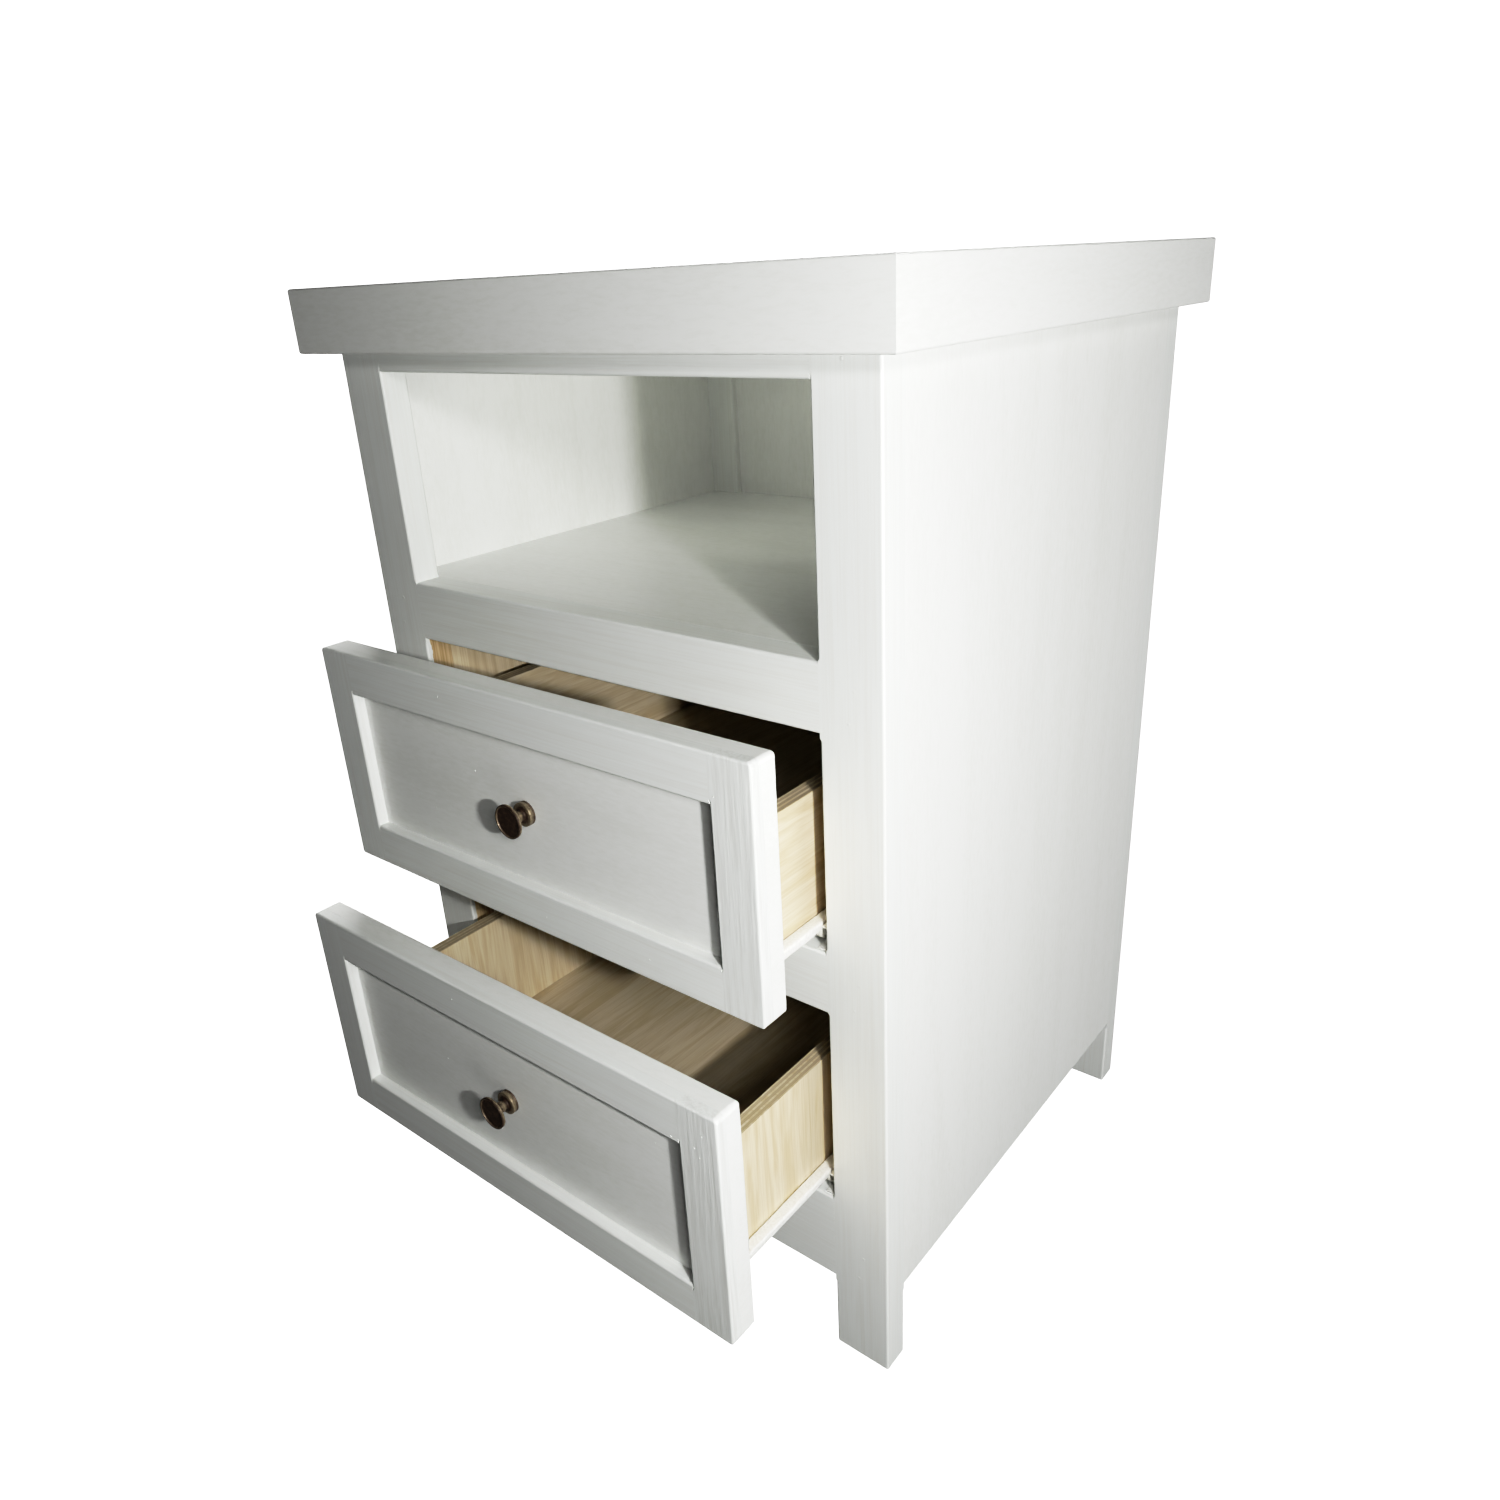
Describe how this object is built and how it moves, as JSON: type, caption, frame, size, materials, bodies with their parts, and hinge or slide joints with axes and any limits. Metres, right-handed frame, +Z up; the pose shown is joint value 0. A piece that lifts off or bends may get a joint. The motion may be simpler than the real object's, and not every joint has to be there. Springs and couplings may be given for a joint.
{
  "type": "nightstand",
  "caption": "White painted wooden nightstand with an open cubby over drawers that stand part open on roller slides, framed drawer fronts and round dished knobs.",
  "frame": {"origin": "on the floor, under the middle of the outline at rest, with both drawers part open", "axes": "+Z up, the drawers face -Y, +X to the right as seen from the front"},
  "size_m": [0.4442, 0.4918, 0.6604],
  "materials": {
    "white_paint": "brushed satin white paint over wood and plywood",
    "birch_plywood": "raw plywood",
    "slide_enamel": "white powder coat on folded steel",
    "nylon": "white moulded nylon",
    "aged_bronze": "aged bronze, worn bright on its rims",
    "zinc_steel": "zinc plated"
  },
  "bodies": {
    "case": {"top_panel": "white_paint", "trim_front": "white_paint", "trim_left": "white_paint", "trim_right": "white_paint", "stile_left": "white_paint", "stile_right": "white_paint", "rail_top": "white_paint", "rail_middle": "white_paint", "rail_divider": "white_paint", "rail_bottom": "white_paint", "side_left": "white_paint", "side_right": "white_paint", "rear_leg_left": "white_paint", "rear_leg_right": "white_paint", "back_panel": "white_paint", "cubby_shelf": "white_paint", "slide_panel_left": "birch_plywood", "slide_panel_right": "birch_plywood", "upper_channel_left": "slide_enamel", "upper_channel_right": "slide_enamel", "lower_channel_left": "slide_enamel", "lower_channel_right": "slide_enamel"},
    "upper_drawer": {"upper_front_panel": "white_paint", "upper_strip_left": "white_paint", "upper_strip_right": "white_paint", "upper_strip_top": "white_paint", "upper_strip_bottom": "white_paint", "upper_box_front": "birch_plywood", "upper_box_left": "birch_plywood", "upper_box_right": "birch_plywood", "upper_box_back": "birch_plywood", "upper_box_bottom": "birch_plywood", "upper_runner_left": "slide_enamel", "upper_runner_right": "slide_enamel", "upper_knob": "aged_bronze", "upper_knob_screw": "zinc_steel"},
    "lower_drawer": {"lower_front_panel": "white_paint", "lower_strip_left": "white_paint", "lower_strip_right": "white_paint", "lower_strip_top": "white_paint", "lower_strip_bottom": "white_paint", "lower_box_front": "birch_plywood", "lower_box_left": "birch_plywood", "lower_box_right": "birch_plywood", "lower_box_back": "birch_plywood", "lower_box_bottom": "birch_plywood", "lower_runner_left": "slide_enamel", "lower_runner_right": "slide_enamel", "lower_knob": "aged_bronze", "lower_knob_screw": "zinc_steel"},
    "upper_front_roller_left": {"upper_front_roller_left": "nylon"},
    "upper_front_roller_right": {"upper_front_roller_right": "nylon"},
    "upper_rear_roller_left": {"upper_rear_roller_left": "nylon"},
    "upper_rear_roller_right": {"upper_rear_roller_right": "nylon"},
    "lower_front_roller_left": {"lower_front_roller_left": "nylon"},
    "lower_front_roller_right": {"lower_front_roller_right": "nylon"},
    "lower_rear_roller_left": {"lower_rear_roller_left": "nylon"},
    "lower_rear_roller_right": {"lower_rear_roller_right": "nylon"}
  },
  "joints": [
    {"name": "upper_drawer_slide", "type": "slide", "parent": "case", "child": "upper_drawer", "axis": [0, -1, 0], "range_m": [-0.0506, 0.1744]},
    {"name": "lower_drawer_slide", "type": "slide", "parent": "case", "child": "lower_drawer", "axis": [0, -1, 0], "range_m": [-0.0969, 0.1281]},
    {"name": "upper_front_roller_left_spin", "type": "hinge", "parent": "case", "child": "upper_front_roller_left", "pos_m": [-0.1567, -0.1112, 0.3122], "axis": [1, 0, 0], "range_deg": [-450, 1542]},
    {"name": "upper_front_roller_right_spin", "type": "hinge", "parent": "case", "child": "upper_front_roller_right", "pos_m": [0.1567, -0.1112, 0.3122], "axis": [1, 0, 0], "range_deg": [-450, 1542]},
    {"name": "upper_rear_roller_left_spin", "type": "hinge", "parent": "upper_drawer", "child": "upper_rear_roller_left", "pos_m": [-0.1622, 0.1199, 0.3101], "axis": [1, 0, 0], "range_deg": [-450, 1542]},
    {"name": "upper_rear_roller_right_spin", "type": "hinge", "parent": "upper_drawer", "child": "upper_rear_roller_right", "pos_m": [0.1622, 0.1199, 0.3101], "axis": [1, 0, 0], "range_deg": [-450, 1542]},
    {"name": "lower_front_roller_left_spin", "type": "hinge", "parent": "case", "child": "lower_front_roller_left", "pos_m": [-0.1567, -0.1112, 0.1334], "axis": [1, 0, 0], "range_deg": [-858, 1133]},
    {"name": "lower_front_roller_right_spin", "type": "hinge", "parent": "case", "child": "lower_front_roller_right", "pos_m": [0.1567, -0.1112, 0.1334], "axis": [1, 0, 0], "range_deg": [-858, 1133]},
    {"name": "lower_rear_roller_left_spin", "type": "hinge", "parent": "lower_drawer", "child": "lower_rear_roller_left", "pos_m": [-0.1622, 0.0736, 0.1313], "axis": [1, 0, 0], "range_deg": [-858, 1133]},
    {"name": "lower_rear_roller_right_spin", "type": "hinge", "parent": "lower_drawer", "child": "lower_rear_roller_right", "pos_m": [0.1622, 0.0736, 0.1313], "axis": [1, 0, 0], "range_deg": [-858, 1133]}
  ],
  "couplings": [
    {"joint": "upper_front_roller_left_spin", "follows": "upper_drawer_slide", "rad_per_m": 153.85},
    {"joint": "upper_front_roller_right_spin", "follows": "upper_drawer_slide", "rad_per_m": 153.85},
    {"joint": "upper_rear_roller_left_spin", "follows": "upper_drawer_slide", "rad_per_m": 153.85},
    {"joint": "upper_rear_roller_right_spin", "follows": "upper_drawer_slide", "rad_per_m": 153.85},
    {"joint": "lower_front_roller_left_spin", "follows": "lower_drawer_slide", "rad_per_m": 153.85},
    {"joint": "lower_front_roller_right_spin", "follows": "lower_drawer_slide", "rad_per_m": 153.85},
    {"joint": "lower_rear_roller_left_spin", "follows": "lower_drawer_slide", "rad_per_m": 153.85},
    {"joint": "lower_rear_roller_right_spin", "follows": "lower_drawer_slide", "rad_per_m": 153.85}
  ]
}
